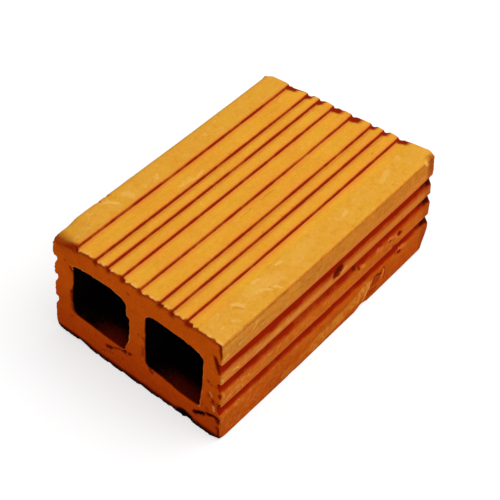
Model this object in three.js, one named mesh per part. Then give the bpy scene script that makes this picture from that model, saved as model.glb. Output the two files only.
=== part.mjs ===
// Two-cell extruded clay brick with scored faces, as one fired solid.
//
// Millimetres, +Z up. The clay column was pushed along X through a die and cut at both ends by a wire.
// The cell mouths are at -X and +X, the bed faces are at -Z and +Z, and the long faces are at -Y and +Y.
// The origin lies under the middle of the overall box, on the surface that the brick stands on.

import * as THREE from 'three';

// Overall body
const LENGTH = 162; // between the wire cuts, along the middle of the brick
const WIDTH = 101.4; // across the long faces, at the upper bed
const HEIGHT = 65; // between the bed faces
const SLUMP = 1.4; // how far each long face leans out at the base, where the wet clay settled

// Wire cuts: how many millimetres each cut runs along X for each millimetre of Y and of Z
const NEAR_CUT = { perY: 0.018, perZ: 0.012 };
const FAR_CUT = { perY: -0.05, perZ: -0.055 };

// Corners of the section
const UPPER_ARRIS = { atRight: 1.0, atLeft: 3.4 }; // right is -Y, left is +Y
const LOWER_ARRIS = { atRight: 1.4, atLeft: 3.2 };
const LIP_RADIUS = 0.45; // soft lips of the scoring

// Cells, one behind each half of the end face; the die's cores sat askew, so each floor falls towards -Y
const CELL_CORNER = 3.2;
const CELLS = [
  { left: 38.7, right: 4.4, ceiling: 52.6, floorAtLeft: 20.2, floorAtRight: 16.9 },
  { left: -6.0, right: -39.8, ceiling: 51.6, floorAtLeft: 19.4, floorAtRight: 14.6 },
];

// Scoring of the beds: wide and narrow grooves, mirrored about the middle
const BED_GROOVE_DEPTH = { upper: 1.4, lower: 0.7 }; // the wet brick's weight pressed the lower ones shallower
const BED_GROOVES = [
  { centre: 5.55, width: 6.3 },
  { centre: 15.7, width: 3.2 },
  { centre: 22.9, width: 3.2 },
  { centre: 33.1, width: 6.4 },
];

// Scoring of the long faces, by the height of each groove's middle
const FACE_GROOVE_DEPTH = 1.9;
const FACE_GROOVE_WIDTH = 6.7;
const FACE_GROOVE_HEIGHTS = [48, 35.3, 20.2];

// One groove in section: a steep wall, a short floor, then a long ramp back to the surface
const STEEP_WALL_RUN = 0.6;
const FLOOR_SHARE = 0.36; // of the groove's width

const CURVE_STEPS = 3; // segments in each rounded corner
const FIRED_CLAY = new THREE.MeshStandardMaterial({ color: 0xc56a20, roughness: 0.92, metalness: 0 });

// A groove's four corners, as [distance along the face, depth below it], with the steep wall first.
function grooveCorners(steepEdge, width, depth) {
  const towards = Math.sign(width);
  const floorStart = steepEdge + towards * STEEP_WALL_RUN;
  return [
    { along: steepEdge, depth: 0, radius: LIP_RADIUS },
    { along: floorStart, depth, radius: 0 },
    { along: floorStart + width * FLOOR_SHARE, depth, radius: 0 },
    { along: steepEdge + width, depth: 0, radius: LIP_RADIUS },
  ];
}

// All of one bed's groove corners, running from +Y to -Y; every steep wall faces -Y.
function bedCorners(depth) {
  const grooves = BED_GROOVES.flatMap(({ centre, width }) => [
    { centre, width },
    { centre: -centre, width },
  ]);
  grooves.sort((a, b) => b.centre - a.centre);
  return grooves.flatMap(({ centre, width }) =>
    grooveCorners(centre + width / 2, -width, depth));
}

// All the long face's groove corners, running from the top down; every steep wall faces down.
function faceCorners() {
  return FACE_GROOVE_HEIGHTS.flatMap((middle) =>
    grooveCorners(middle + FACE_GROOVE_WIDTH / 2, -FACE_GROOVE_WIDTH, FACE_GROOVE_DEPTH));
}

// The settled clay is a little wider at the base than at the upper bed.
function settled(y, z) {
  return y * (1 + (SLUMP / (WIDTH / 2)) * (1 - z / HEIGHT));
}

// The section's corners in order round the outside, counter-clockwise in Y and Z.
function sectionCorners() {
  const half = WIDTH / 2;
  const face = faceCorners();
  const upperBed = bedCorners(BED_GROOVE_DEPTH.upper)
    .map((c) => ({ y: c.along, z: HEIGHT - c.depth, radius: c.radius }));
  const lowerBed = bedCorners(BED_GROOVE_DEPTH.lower)
    .map((c) => ({ y: c.along, z: c.depth, radius: c.radius }))
    .reverse();
  const farFace = face.map((c) => ({ y: half - c.depth, z: c.along, radius: c.radius })).reverse();
  const nearFace = face.map((c) => ({ y: -half + c.depth, z: c.along, radius: c.radius }));
  return [
    { y: -half, z: 0, radius: LOWER_ARRIS.atRight },
    ...lowerBed,
    { y: half, z: 0, radius: LOWER_ARRIS.atLeft },
    ...farFace,
    { y: half, z: HEIGHT, radius: UPPER_ARRIS.atLeft },
    ...upperBed,
    { y: -half, z: HEIGHT, radius: UPPER_ARRIS.atRight },
    ...nearFace,
  ];
}

function cellCorners({ left, right, ceiling, floorAtLeft, floorAtRight }) {
  return [
    { y: right, z: floorAtRight, radius: CELL_CORNER },
    { y: left, z: floorAtLeft, radius: CELL_CORNER },
    { y: left, z: ceiling, radius: CELL_CORNER },
    { y: right, z: ceiling, radius: CELL_CORNER },
  ];
}

// Draws a closed outline through the corners, each rounded by its own radius.
function drawRounded(path, corners) {
  const points = corners.map(({ y, z }) => new THREE.Vector2(settled(y, z), z));
  points.forEach((corner, i) => {
    const before = points[(i + points.length - 1) % points.length];
    const after = points[(i + 1) % points.length];
    const radius = corners[i].radius;
    const start = corner.clone().add(before.clone().sub(corner).setLength(radius));
    const end = corner.clone().add(after.clone().sub(corner).setLength(radius));
    if (i === 0) {
      path.moveTo(start.x, start.y);
    } else {
      path.lineTo(start.x, start.y);
    }
    if (radius > 0) {
      path.quadraticCurveTo(corner.x, corner.y, end.x, end.y);
    }
  });
  path.closePath();
  return path;
}

// The die's section extruded along X from -0.5 to 0.5, then stretched so that its two ends lie on the wire cuts.
function cutColumn() {
  const section = drawRounded(new THREE.Shape(), sectionCorners());
  section.holes = CELLS.map((cell) => drawRounded(new THREE.Path(), cellCorners(cell)));
  const column = new THREE.ExtrudeGeometry(section, {
    depth: 1,
    steps: 1,
    bevelEnabled: false,
    curveSegments: CURVE_STEPS,
  });
  column.translate(0, 0, -0.5);
  column.applyMatrix4(new THREE.Matrix4().makeBasis(
    new THREE.Vector3(0, 1, 0),
    new THREE.Vector3(0, 0, 1),
    new THREE.Vector3(1, 0, 0),
  ));
  const position = column.attributes.position;
  for (let i = 0; i < position.count; i += 1) {
    const atFarEnd = position.getX(i) > 0;
    const cut = atFarEnd ? FAR_CUT : NEAR_CUT;
    const middle = atFarEnd ? LENGTH / 2 : -LENGTH / 2;
    const lean = cut.perY * position.getY(i) + cut.perZ * (position.getZ(i) - HEIGHT / 2);
    position.setX(i, middle + lean);
  }
  column.computeBoundingBox();
  const { min, max } = column.boundingBox;
  column.translate(-(min.x + max.x) / 2, -(min.y + max.y) / 2, -min.z);
  column.computeVertexNormals();
  return column;
}

const brick = new THREE.Mesh(cutColumn(), FIRED_CLAY);
brick.name = 'brick';

const part = new THREE.Group();
part.add(brick);

export default part;
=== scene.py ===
"""Two-cell extruded clay brick with scored faces, and a plain stage to see it on.

The file is laid out as an add-on and is run as a script. Lengths in the settings are in metres.
Inside the making of the brick they are in millimetres. X runs along the extrusion, from the cut end
called near to the one called far. Y runs across it, from the right long face to the left one. Z is up.
"""

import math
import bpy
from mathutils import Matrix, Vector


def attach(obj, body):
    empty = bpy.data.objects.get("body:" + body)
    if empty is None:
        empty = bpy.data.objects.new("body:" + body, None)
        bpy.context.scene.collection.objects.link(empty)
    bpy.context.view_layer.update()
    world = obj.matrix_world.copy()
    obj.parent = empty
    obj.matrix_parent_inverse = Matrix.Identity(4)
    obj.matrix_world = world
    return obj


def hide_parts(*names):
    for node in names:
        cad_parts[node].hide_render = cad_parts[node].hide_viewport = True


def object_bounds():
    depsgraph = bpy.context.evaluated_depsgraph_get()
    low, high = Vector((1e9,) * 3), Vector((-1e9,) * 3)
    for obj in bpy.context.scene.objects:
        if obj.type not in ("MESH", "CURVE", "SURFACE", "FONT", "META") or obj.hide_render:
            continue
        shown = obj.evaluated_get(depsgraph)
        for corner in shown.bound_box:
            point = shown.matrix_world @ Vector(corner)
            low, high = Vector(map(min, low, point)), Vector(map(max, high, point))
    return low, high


bl_info = {
    "name": "Fired Clay Brick",
    "version": (1, 0, 0),
    "blender": (4, 5, 0),
    "location": "View3D > Sidebar > Brick",
    "description": "Builds a two-cell extruded clay brick with scored faces, and its stage",
    "category": "Object",
}

import bmesh
import bpy
import numpy as np
from bpy.props import FloatProperty
from bpy.props import FloatVectorProperty
from bpy.props import IntProperty
from bpy.props import PointerProperty
from mathutils import Vector
from mathutils.geometry import delaunay_2d_cdt

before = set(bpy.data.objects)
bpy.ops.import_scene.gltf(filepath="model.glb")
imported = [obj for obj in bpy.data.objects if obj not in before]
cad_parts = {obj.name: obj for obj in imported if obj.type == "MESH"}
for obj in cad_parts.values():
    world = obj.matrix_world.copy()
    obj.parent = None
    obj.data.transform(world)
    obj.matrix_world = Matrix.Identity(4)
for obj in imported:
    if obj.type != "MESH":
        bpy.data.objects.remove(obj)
CAD_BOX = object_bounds()
CAD_LOW = np.array(CAD_BOX[0]) * 1000
CAD_HIGH = np.array(CAD_BOX[1]) * 1000
BRICK_HEIGHT = CAD_BOX[1].z - CAD_BOX[0].z
MM = 0.001


# ---------------------------------------------------------------- the die's section, in millimetres

# Scoring of the beds from left to right, as middle and width; its right half mirrors its left
LEFT_GROOVES = ((33.1, 6.4), (22.9, 3.2), (15.7, 3.2), (5.55, 6.3))
BED_GROOVES = (*LEFT_GROOVES, *[(-middle, width) for middle, width in reversed(LEFT_GROOVES)])

# Bed grooves whose line of painted shade is fainter, by the nearest millimetre of its place
FAINT_LINES = (36, -2)

# Scoring of the long faces: height of each groove's middle, and how far down its shade starts and ends
# to fade
FACE_GROOVES = ((48.0, 5.0, 8.1), (35.3, 5.2, 7.9), (20.2, 5.2, 7.0))

# Painted highlights along the crests of the long faces and the lips of their scoring: height, reach, and how
# strong the highlight is
FACE_CREST_HIGHLIGHTS = (
    (53.4, 1.2, 0.35),
    (51.8, 0.6, 0.8),
    (41.6, 1.7, 0.45),
    (39.1, 0.6, 0.6),
    (29.0, 2.2, 0.05),
    (24.0, 0.6, 0.6),
)

# Inside the clay, the section's points are about this far apart, and never closer than the second number
GRID_STEP = 1.35
CLOSEST = 0.33

# Outlines of the two cells as the die's cores left them: Y, Z and corner radius
LEFT_CELL = (
    (7.4, 16.9, 1.6),
    (38.6, 18.6, 2.6),
    (40.0, 29.0, 4.0),
    (38.6, 40.0, 4.0),
    (38.5, 51.3, 1.4),
    (30.0, 52.4, 4.0),
    (12.6, 53.2, 5.0),
    (5.4, 49.8, 2.4),
    (5.5, 42.6, 0.8),
    (3.7, 41.0, 0.8),
    (3.8, 26.5, 4.0),
)
RIGHT_CELL = (
    (-38.4, 14.6, 1.8),
    (-28.8, 14.1, 4.0),
    (-14.6, 16.9, 3.0),
    (-8.0, 16.5, 1.0),
    (-5.9, 18.6, 1.0),
    (-6.0, 49.4, 2.2),
    (-9.6, 52.0, 2.2),
    (-28.5, 51.8, 4.0),
    (-37.6, 50.0, 1.6),
    (-40.2, 48.2, 1.1),
    (-39.8, 30.0, 4.0),
)

# Wire cuts: where each crosses the middle line at bed height, and its run along X per millimetre of Y and Z
NEAR_CUT = (-82.908, 0.018, 0.012)
FAR_CUT = (81.271, -0.050, -0.055)


def along_segments(step, start, end):
    """Points from start towards end, without either, so that no piece is longer than step."""
    pieces = max(1, math.ceil(np.linalg.norm(end - start) / step))
    return [start + (end - start) * i / pieces for i in range(1, pieces)]


def draw_rounded(corners, step):
    """A closed outline through the corners, each rounded by its own radius, in short pieces."""
    points = []
    count = len(corners)
    places = [np.array(corner[:2], float) for corner in corners]
    for i, (_, _, radius) in enumerate(corners):
        here = places[i]
        before = places[i - 1] - here
        after = places[(i + 1) % count] - here
        start = here + before / np.linalg.norm(before) * radius
        end = here + after / np.linalg.norm(after) * radius
        if points:
            points += along_segments(step(*start), points[-1], start)
        if radius == 0:
            points.append(here)
            continue
        turns = max(2, math.ceil(radius / 0.8))
        for turn in range(turns + 1):
            t = turn / turns
            points.append(start * (1 - t) ** 2 + here * 2 * t * (1 - t) + end * t**2)
    points += along_segments(step(*points[-1]), points[-1], points[0])
    return np.array(points)


def groove_corners(edge, width, depth, run, floor_share, lip):
    """A groove as distance along the face, depth and radius: steep wall, short floor, long ramp."""
    floor = edge - run
    across = width * floor_share
    return [
        (edge, 0, lip),
        (floor, depth, min(0.2, across * 0.45)),
        (floor - across, depth, across * 0.5),
        (edge - width, 0, lip),
    ]


def outer_corners(size, scoring):
    """The section's outer corners, counter-clockwise seen from the far end: Y, Z, radius."""
    pressed = scoring.lower_depth / scoring.bed_depth
    half = size.width * 500
    height = size.height * 1000
    run = scoring.steep_run * 1000
    lip = scoring.lip * 1000
    bed = []
    for middle, width in BED_GROOVES:
        corners = (middle + width / 2, width, scoring.bed_depth * 1000, run, scoring.bed_floor, lip)
        bed += groove_corners(*corners)
    face = []
    width = scoring.face_width * 1000
    lip = scoring.face_lip * 1000
    for middle, _, _ in FACE_GROOVES:
        corners = (middle + width / 2, width, scoring.face_depth * 1000, run, scoring.face_floor, lip)
        face += groove_corners(*corners)
    return [
        (-half, 0, size.lower_right_arris * 1000),
        *[(along, depth * pressed, radius) for along, depth, radius in reversed(bed)],
        (half, 0, size.lower_left_arris * 1000),
        *[(half - depth, along, radius) for along, depth, radius in reversed(face)],
        (half, height, size.upper_left_arris * 1000),
        *[(along, height - depth, radius) for along, depth, radius in bed],
        (-half, height, size.upper_right_arris * 1000),
        *[(-half + depth, along, radius) for along, depth, radius in face],
    ]


def falls_in(points, outline):
    """Which points lie inside a closed outline."""
    inside = np.zeros(len(points), bool)
    for a, b in zip(outline, np.roll(outline, -1, axis=0)):
        spans = (a[1] > points[:, 1]) != (b[1] > points[:, 1])
        rise = b[1] - a[1] if b[1] != a[1] else 1e-9
        crossing = a[0] + (points[:, 1] - a[1]) * (b[0] - a[0]) / rise
        inside ^= spans & (points[:, 0] < crossing)
    return inside


def outward_normals(outline, sense):
    """Unit normals out of the clay along a counter-clockwise outline; sense is -1 for a cell."""
    run = np.roll(outline, -1, axis=0) - np.roll(outline, 1, axis=0)
    normal = np.stack([run[:, 1], -run[:, 0]], 1) * sense
    return normal / np.linalg.norm(normal, axis=1)[:, None]


def section_finish(y, z, size, scoring):
    """How far each outline point takes painted shade in the scoring, a painted highlight on a crest or
    beside a bed line, and painted light on a bed groove's ramp, from 0 to 1.
    """
    half = size.width * 500
    height = size.height * 1000
    side = np.abs(y)
    on_bed = ((z > height - 2) | (z < 2)) & (side < half - 4)
    shade, highlight_beside, ramp = np.zeros((3, len(y)))
    for middle, width in BED_GROOVES:
        edge = middle + width / 2
        into = edge - y
        # Painted shade on each bed groove's steep wall, with a faint halo round it
        wall = between(into, -0.3, 0.05, 0.45, 0.85) * (0.9 if round(edge) in FAINT_LINES else 1.0)
        halo = 0.2 * between(into, -1.7, -0.2, 0.7, 2.4)
        shade = np.maximum(shade, np.maximum(wall, halo))
        # Painted highlights on either side of each bed line
        for level, reach, share in ((-1.0, 0.9, 0.3), (1.8, 0.8, 0.45)):
            highlight_beside = np.maximum(highlight_beside, share * hump(into, level, reach))
        # Painted light on each bed groove's ramp, most on the narrow grooves
        steep = 1.0 if width < 5 else 0.4
        ramp = np.maximum(ramp, steep * between(into, 0.8, 1.5, width - 0.9, width + 0.1))
    shade = np.where(on_bed, shade, 0)
    # Painted shade in the long faces' grooves, fading down each ramp
    for middle, start, end in FACE_GROOVES:
        into = middle + scoring.face_width * 500 - z
        band = smooth(into, -0.6, 0.2) * np.clip((end - into) / (end - start), 0, 1)
        shade = np.where(side > half - 3, np.maximum(shade, band), shade)
    # A thin line of painted shade just under the right face's upper arris
    arris = 0.22 * between(z, height - 2.6, height - 1.4, height - 0.9, height - 0.1)
    shade = np.where(side > half - 1.2, np.maximum(shade, arris), shade)
    # Painted highlights along the crests and lips of the long faces
    crest_highlight = sum(share * hump(z, level, reach) for level, reach, share in FACE_CREST_HIGHLIGHTS)
    crest_highlight = np.where(side > half - 2.2, crest_highlight, np.where(on_bed, highlight_beside, 0))
    return {"scored": shade, "crest_highlight": crest_highlight, "ramp": np.where(on_bed, ramp, 0)}


def before_settling(points, size):
    """Takes final Y and Z back to the die's section, before the wet clay settled."""
    half = size.width * 500
    height = size.height * 1000
    spread = 1 + size.slump * 1000 / half * (1 - points[:, 1] / height)
    return np.stack([points[:, 0] / spread, points[:, 1]], 1)


def clay_between(points, outer, cells):
    """Which points lie in the clay, inside the outer outline and outside the cells."""
    clay = falls_in(points, outer)
    for cell in cells:
        clay &= ~falls_in(points, cell)
    return clay


def fill_section(outer, cells, cracks):
    """The section's flat clay: outline points, then inner ones, each with its depth and skin normal."""
    loops = [(outer, 1.0), *[(cell, -1.0) for cell in cells]]
    outline = np.concatenate([loop for loop, _ in loops])
    count = len(outline)
    normal = np.concatenate([outward_normals(loop, sense) for loop, sense in loops])
    low = outline.min(0)
    high = outline.max(0)
    rows = np.arange(low[1], high[1], GRID_STEP * 0.866)
    grid = [
        (y + (GRID_STEP / 2 if i % 2 else 0), z)
        for i, z in enumerate(rows)
        for y in np.arange(low[0], high[0], GRID_STEP)
    ]
    shake = np.random.default_rng(4).uniform(-0.22, 0.22, (len(grid), 2))
    inner = np.concatenate([cracks, np.array(grid) + shake])
    nearest = np.concatenate([
        np.linalg.norm(chunk[:, None] - outline[None], axis=2).argmin(1)
        for chunk in np.array_split(inner, 12)
    ])
    insets = (0.0, 0.4, 1.0)
    points = np.concatenate([*[outline - normal * inset for inset in insets], inner])
    depths = np.repeat(insets, count)
    depths = np.concatenate([depths, np.linalg.norm(inner - outline[nearest], axis=1)])
    normals = np.concatenate([*[normal for _ in insets], normal[nearest]])
    clay = clay_between(points, outer, cells)
    clay[:count] = True
    kept = list(range(count))
    taken = {}
    for i in np.flatnonzero(clay):
        y, z = points[i]
        square = (int(y // CLOSEST), int(z // CLOSEST))
        around = [
            j
            for a in (-1, 0, 1)
            for b in (-1, 0, 1)
            for j in taken.get((square[0] + a, square[1] + b), ())
        ]
        if i >= count:
            if any(np.hypot(*(points[j] - points[i])) < CLOSEST for j in around):
                continue
            kept.append(i)
        taken.setdefault(square, []).append(i)
    return points[kept], depths[kept], normals[kept], [len(loop) for loop, _ in loops]


def flat_section(size, scoring):
    """A flat mesh of the section, with the facts of each point kept as attributes."""
    height = size.height * 1000

    def fine(y, z):
        """Short pieces on the faces that are handled most, longer ones underneath."""
        if z < 2.5:
            return 2.0
        if y > size.width * 500 - 3:
            return 1.7
        return 0.8 if height - 1.6 < z < height - 0.1 else 1.25

    outer = draw_rounded(outer_corners(size, scoring), fine)
    cells = [draw_rounded(cell, lambda y, z: 1.5) for cell in (LEFT_CELL, RIGHT_CELL)]
    cracks = before_settling(crack_points(), size)
    points, depths, normals, counts = fill_section(outer, cells, cracks)
    edges = []
    start = 0
    for count in counts:
        edges += [(start + i, start + (i + 1) % count) for i in range(count)]
        start += count
    flat, _, triangles, origins, _, _ = delaunay_2d_cdt(
        [Vector(p) for p in points], edges, [], 0, 1e-5, True
    )
    order = [origin[0] for origin in origins]
    places = np.array([tuple(p) for p in flat])
    clay = clay_between(np.array([places[list(t)].mean(0) for t in triangles]), outer, cells)
    faces = [list(t) for t, kept in zip(triangles, clay) if kept]
    mesh = bpy.data.meshes.new("die_section")
    mesh.from_pydata([(-y * MM, -z * MM, 0) for y, z in places], [], faces)
    write_values(mesh, "inset", depths[order])
    write_values(mesh, "skin_y", normals[order][:, 0])
    write_values(mesh, "skin_z", normals[order][:, 1])
    write_values(mesh, "in_cell", [counts[0] <= i < sum(counts) for i in order])
    for name, values in section_finish(*places.T, size, scoring).items():
        write_values(mesh, name, values * (depths[order] < 0.1))
    return mesh


# ---------------------------------------------------------------- wear and painted light, in millimetres

# Bites out of the arris between the near end and the upper bed: Y, half width, depth
NEAR_TOP_BITES = (
    (36.4, 1.5, 1.3),
    (33.0, 1.2, 0.5),
    (28.5, 1.0, 0.6),
    (24.4, 1.5, 1.2),
    (20.5, 0.9, 0.5),
    (16.9, 1.9, 1.5),
    (12.4, 1.1, 0.6),
    (8.4, 2.4, 1.6),
    (3.5, 1.2, 0.6),
    (-2.6, 1.5, 1.1),
    (-7.2, 1.4, 0.7),
    (-11.5, 1.0, 0.5),
    (-14.8, 2.1, 1.5),
    (-21.6, 1.5, 1.2),
    (-26.2, 1.2, 0.7),
    (-31.0, 2.5, 2.1),
    (-36.0, 1.5, 0.8),
    (-41.0, 1.3, 0.6),
    (-45.6, 1.4, 0.7),
)

# The same at the far end
FAR_TOP_BITES = (
    (44.0, 2.0, 0.7),
    (36.2, 1.6, 1.5),
    (30.5, 5.0, 1.9),
    (23.6, 2.2, 2.0),
    (17.0, 1.8, 1.5),
    (8.6, 2.0, 1.7),
    (2.0, 3.0, 0.8),
    (-2.6, 2.0, 1.8),
    (-14.4, 2.0, 1.8),
    (-21.7, 1.9, 1.7),
    (-30.2, 2.6, 2.0),
    (-38.0, 4.0, 0.8),
)

# Marks: line of points, half width, depth pressed in (raised where negative), finish, which may be painted
# shade or highlight, strength.
# On the ends a point is Y, Z; on the beds X, Y; on the long faces X, Z.
NEAR_MARKS = (
    # Cracks and pits round the cells, with painted shade in them
    (((18.1, 11.9), (15.6, 13.0)), 0.7, 0.72, "hollow", 0.6),
    (((15.6, 13.0), (11.5, 15.4), (8.4, 16.2)), 0.35, 0.42, "hollow", 0.35),
    (((7.6, 16.0), (6.4, 17.4)), 0.8, 0.72, "hollow", 0.5),
    (((4.2, 17.2), (3.2, 17.8)), 0.65, 0.48, "hollow", 0.45),
    (((-36.4, 8.9), (-39.0, 10.6), (-41.6, 11.9)), 0.8, 0.96, "hollow", 1.0),
    (((-41.6, 11.9), (-44.2, 13.6)), 0.3, 0.36, "raw", 0.8),
    (((-44.2, 13.6), (-47.4, 15.0), (-49.8, 14.6)), 0.7, 0.84, "hollow", 1.0),
    (((41.0, 49.6), (40.2, 47.8), (39.0, 47.2)), 0.7, 0.4, "raw", 1.0),
    (((-9.2, 16.4), (-10.6, 15.0)), 0.8, 0.3, "raw", 1.0),
    (((-11.7, 19.6),), 0.7, -0.15, "pale", 0.7),
    (((-5.0, 34.6),), 1.0, 0.2, "raw", 0.45),
    (((-4.8, 27.4), (-4.4, 23.0)), 0.9, 0.2, "raw", 0.5),
    (((25.6, 14.2),), 0.9, 0.2, "raw", 0.35),
    (((18.0, 10.6), (14.6, 9.4)), 1.0, 0.1, "raw", 0.3),
    (((40.6, 31.0), (40.2, 27.6)), 1.3, 0.3, "raw", 0.8),
    (((40.4, 24.0), (39.8, 21.8)), 0.9, 0.3, "raw", 0.6),
    # The broken right arris, with painted shade in its deeper breaks
    (((-49.2, 63.9), (-50.0, 60.7), (-50.7, 55.8)), 0.9, 0.3, "raw", 0.95),
    (((-46.9, 54.4), (-48.2, 50.6), (-49.8, 46.0)), 1.1, 0.3, "raw", 1.0),
    (((-47.4, 53.4), (-48.5, 49.8), (-49.6, 47.2)), 0.6, 0.4, "hollow", 0.45),
    (((-44.1, 36.0),), 0.9, 0.3, "raw", 0.8),
    (((-50.8, 30.6),), 1.2, 0.4, "raw", 1.0),
    (((-46.4, 25.5), (-47.0, 23.6)), 0.8, 0.3, "raw", 0.8),
    (((-47.2, 21.2), (-47.9, 18.9)), 0.4, -0.15, "pale", 0.7),
    (((-45.0, 29.4), (-46.2, 27.6)), 0.4, -0.1, "pale", 0.4),
    (((-50.6, 24.4), (-50.9, 20.8)), 1.3, 0.4, "raw", 1.0),
    (((-50.6, 14.4), (-50.2, 12.4)), 0.9, 0.5, "hollow", 0.5),
    (((-50.5, 8.4), (-50.9, 3.4)), 0.9, 0.4, "hollow", 0.4),
    # The chip in its foot, with painted shade in it
    (((-27.8, 1.8), (-30.8, 2.8), (-33.6, 2.0)), 2.2, 0.84, "hollow", 1.0),
)
RIGHT_MARKS = (
    # The large pit with painted shade in it, and a painted highlight along the crest beside it
    (((0.2, 43.4), (3.8, 44.3)), 2.7, 0.2, "raw", 1.0),
    (((0.4, 43.6), (3.6, 44.4)), 2.2, 0.7, "hollow", 0.5),
    (((-58.0, 40.6), (-28.0, 41.2)), 0.5, -0.1, "pale", 0.3),
    (((-28.0, 41.2), (0.4, 40.6), (5.2, 41.6), (8.6, 43.4)), 0.55, -0.2, "rubbed", 0.95),
    (((0.4, 40.8), (5.2, 41.6), (8.6, 43.4)), 0.4, -0.1, "pale", 0.5),
    # Small pits, with painted shade in some
    (((17.2, 33.9),), 1.5, 0.5, "hollow", 0.4),
    (((20.0, 32.8), (21.3, 31.2)), 0.8, 0.3, "raw", 0.8),
    (((27.8, 18.2),), 1.0, 0.5, "hollow", 0.3),
    (((47.0, 30.6),), 1.1, 0.4, "raw", 0.8),
    (((54.6, 30.2), (56.6, 29.2)), 1.6, 0.3, "raw", 1.0),
    (((55.2, 30.0), (56.2, 29.4)), 1.1, 0.4, "hollow", 0.35),
    (((52.3, 30.4), (53.1, 28.8)), 0.5, -0.1, "pale", 0.3),
    (((56.8, 15.8), (58.6, 15.0)), 1.4, 0.3, "raw", 1.0),
    (((57.3, 15.6), (58.2, 15.2)), 0.9, 0.3, "hollow", 0.3),
    (((52.8, 18.8), (54.0, 18.2)), 1.3, 0.3, "raw", 0.7),
    (((50.2, 24.6), (52.6, 23.6)), 1.0, 0.2, "raw", 0.5),
    # The triangular scar, its two raised flaps and the hollow between them, with painted shade in the hollow
    (((35.6, 9.6), (40.2, 8.8)), 2.8, 0.6, "raw", 0.55),
    (((32.4, 4.6), (38.0, 4.2)), 2.0, 0.5, "raw", 0.45),
    (((24.6, 9.6), (29.2, 12.6)), 2.4, -0.1, "rubbed", 0.35),
    (((25.0, 11.2), (26.4, 8.6)), 0.6, 0.2, "raw", 0.45),
    (((27.8, 14.4), (28.8, 12.0)), 0.6, 0.2, "raw", 0.4),
    (((22.0, 12.4), (22.6, 9.8)), 0.6, 0.2, "raw", 0.3),
    (((27.4, 4.2), (30.6, 8.6), (32.8, 11.4), (34.3, 13.6)), 0.85, -0.6, "rubbed", 0.95),
    (((28.2, 5.0), (31.2, 9.2), (33.6, 12.8)), 0.45, -0.1, "pale", 0.6),
    (((35.8, 12.8), (38.6, 12.6), (42.0, 11.6)), 1.1, 0.8, "raw", 0.95),
    (((36.4, 12.8), (40.4, 12.4)), 0.7, 0.4, "hollow", 0.35),
    (((42.6, 8.6), (44.6, 12.4)), 0.9, -0.4, "rubbed", 0.6),
    (((41.8, 11.4), (43.0, 13.8), (44.4, 15.4)), 0.4, 0.4, "raw", 0.9),
    (((44.6, 15.2), (46.0, 10.8), (45.4, 6.2)), 0.4, 0.5, "raw", 0.85),
    # Broken ends of the scoring, with painted shade in them
    (((74.0, 47.8), (78.0, 47.4), (83.5, 47.2)), 1.7, 0.1, "hollow", 0.4),
    (((78.6, 47.0), (83.5, 46.6)), 1.9, 0.3, "hollow", 0.72),
    (((74.0, 35.2), (78.0, 34.8), (83.5, 34.6)), 1.6, 0.1, "hollow", 0.4),
    (((78.6, 34.4), (83.5, 34.0)), 1.8, 0.3, "hollow", 0.72),
    (((74.0, 20.0), (78.0, 19.6), (83.5, 19.4)), 1.6, 0.1, "hollow", 0.4),
    (((78.4, 19.4), (83.5, 19.0)), 1.8, 0.3, "hollow", 0.72),
    # The worn far corner, with painted highlights on it and along the upper crest
    (((72.6, 64.0), (74.4, 62.0)), 0.9, -0.1, "pale", 0.8),
    (((74.0, 54.6), (80.0, 54.8)), 1.4, -0.1, "rubbed", 0.6),
    (((30.0, 54.2), (76.0, 54.4)), 1.3, -0.1, "rubbed", 0.5),
    # Bruises in its upper arris
    (((-82.0, 62.9), (-60.0, 62.7), (-38.2, 63.4)), 0.5, 0.1, "raw", 0.22),
    (((-43.4, 63.6), (-38.2, 63.4)), 0.7, 0.1, "raw", 0.3),
    # Golden patches
    (((-82.0, 60.6), (-30.0, 60.6)), 1.7, 0.1, "gold", 0.55),
    (((-36.0, 4.6), (-14.0, 5.0)), 2.8, 0.1, "gold", 0.28),
    (((-14.0, 5.6), (0.0, 6.6), (12.0, 7.6), (22.0, 8.6)), 4.4, 0.1, "gold", 0.5),
    (((22.0, 8.6), (28.6, 12.4)), 4.2, 0.1, "gold", 0.6),
    (((46.0, 31.8), (51.0, 31.2)), 1.1, -0.1, "rubbed", 0.4),
    (((36.0, 31.6), (40.0, 30.6)), 1.3, -0.1, "rubbed", 0.4),
    (((22.4, 31.4), (24.8, 30.4)), 1.1, -0.1, "gold", 0.5),
    (((58.0, 17.6), (62.0, 16.6)), 1.1, -0.1, "rubbed", 0.35),
    # Dust rubbed off beside the near end
    (((-75.0, 42.4), (-70.4, 40.9)), 0.5, -0.1, "pale", 0.6),
    (((-82.6, 41.8), (-81.4, 40.2)), 0.6, -0.1, "pale", 0.5),
    (((-77.4, 26.4), (-72.6, 28.6)), 0.6, -0.1, "pale", 0.3),
    (((-81.6, 54.6), (-78.6, 55.2)), 0.5, -0.1, "pale", 0.5),
    (((-71.4, 55.8), (-66.6, 56.8)), 0.5, -0.1, "pale", 0.45),
    (((-61.8, 57.8), (-58.6, 60.6)), 0.5, -0.1, "pale", 0.45),
)
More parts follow.
